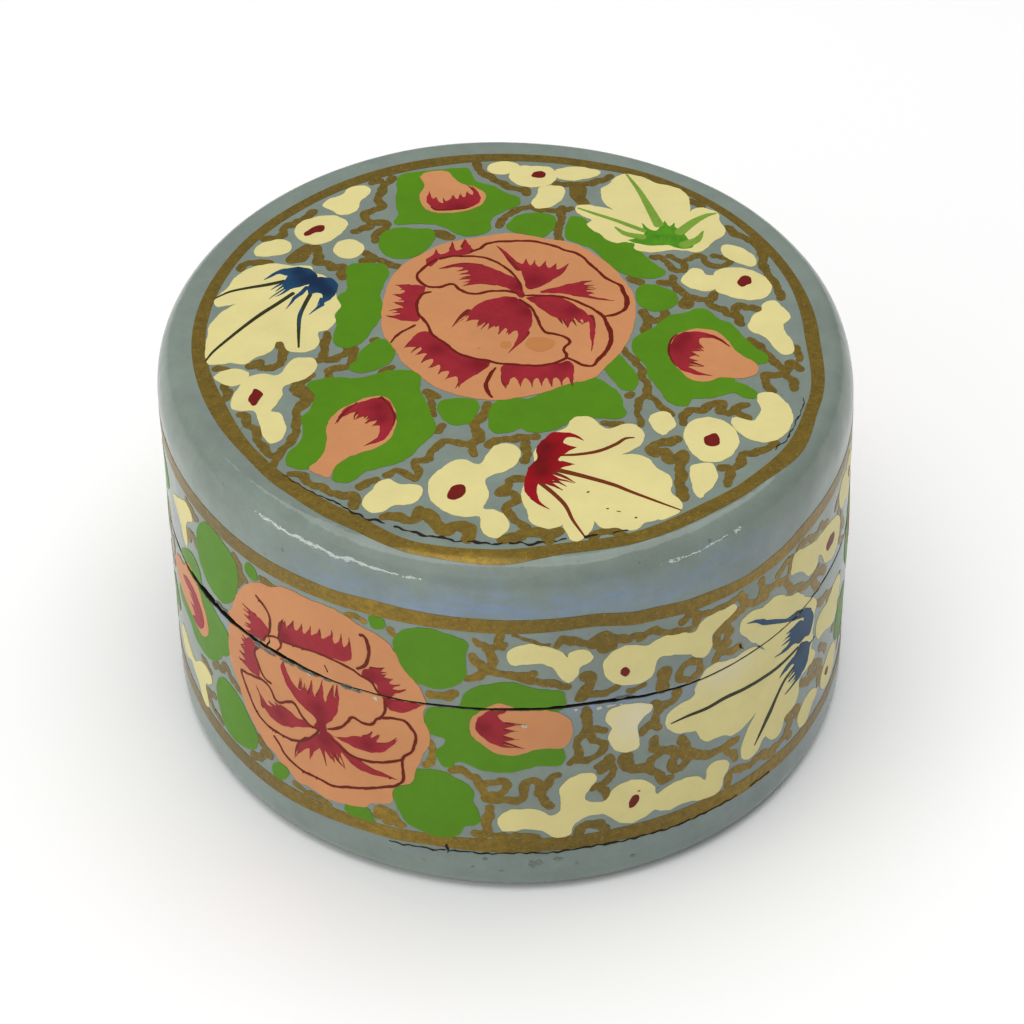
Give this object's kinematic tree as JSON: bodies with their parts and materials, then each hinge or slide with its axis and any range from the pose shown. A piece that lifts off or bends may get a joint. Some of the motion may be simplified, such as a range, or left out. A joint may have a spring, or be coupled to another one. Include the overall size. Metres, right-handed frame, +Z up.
{
  "type": "lidded trinket box",
  "caption": "Round papier mache trinket box with a lift-off lid located by a collar in the base, painted with roses, leaves and gold bands under gloss varnish.",
  "frame": {"origin": "centre of the underside", "axes": "+Z up through the middle of the lid; -Y is the side seen in front, with +X to its right"},
  "size_m": [0.076, 0.076, 0.046],
  "materials": {
    "wound_paper": "satin",
    "collar_card": "satin",
    "painted_ground": "gloss"
  },
  "bodies": {
    "base": {"base_wall": "wound_paper", "base_floor": "wound_paper", "base_collar": "collar_card", "base_ground_coat": "painted_ground"},
    "lid": {"lid_wall": "wound_paper", "lid_top": "wound_paper", "lid_ground_coat": "painted_ground"}
  },
  "joints": [
    {"name": "lid_lift", "type": "slide", "parent": "base", "child": "lid", "axis": [0, 0, 1], "range_m": [0, 0.05]}
  ]
}
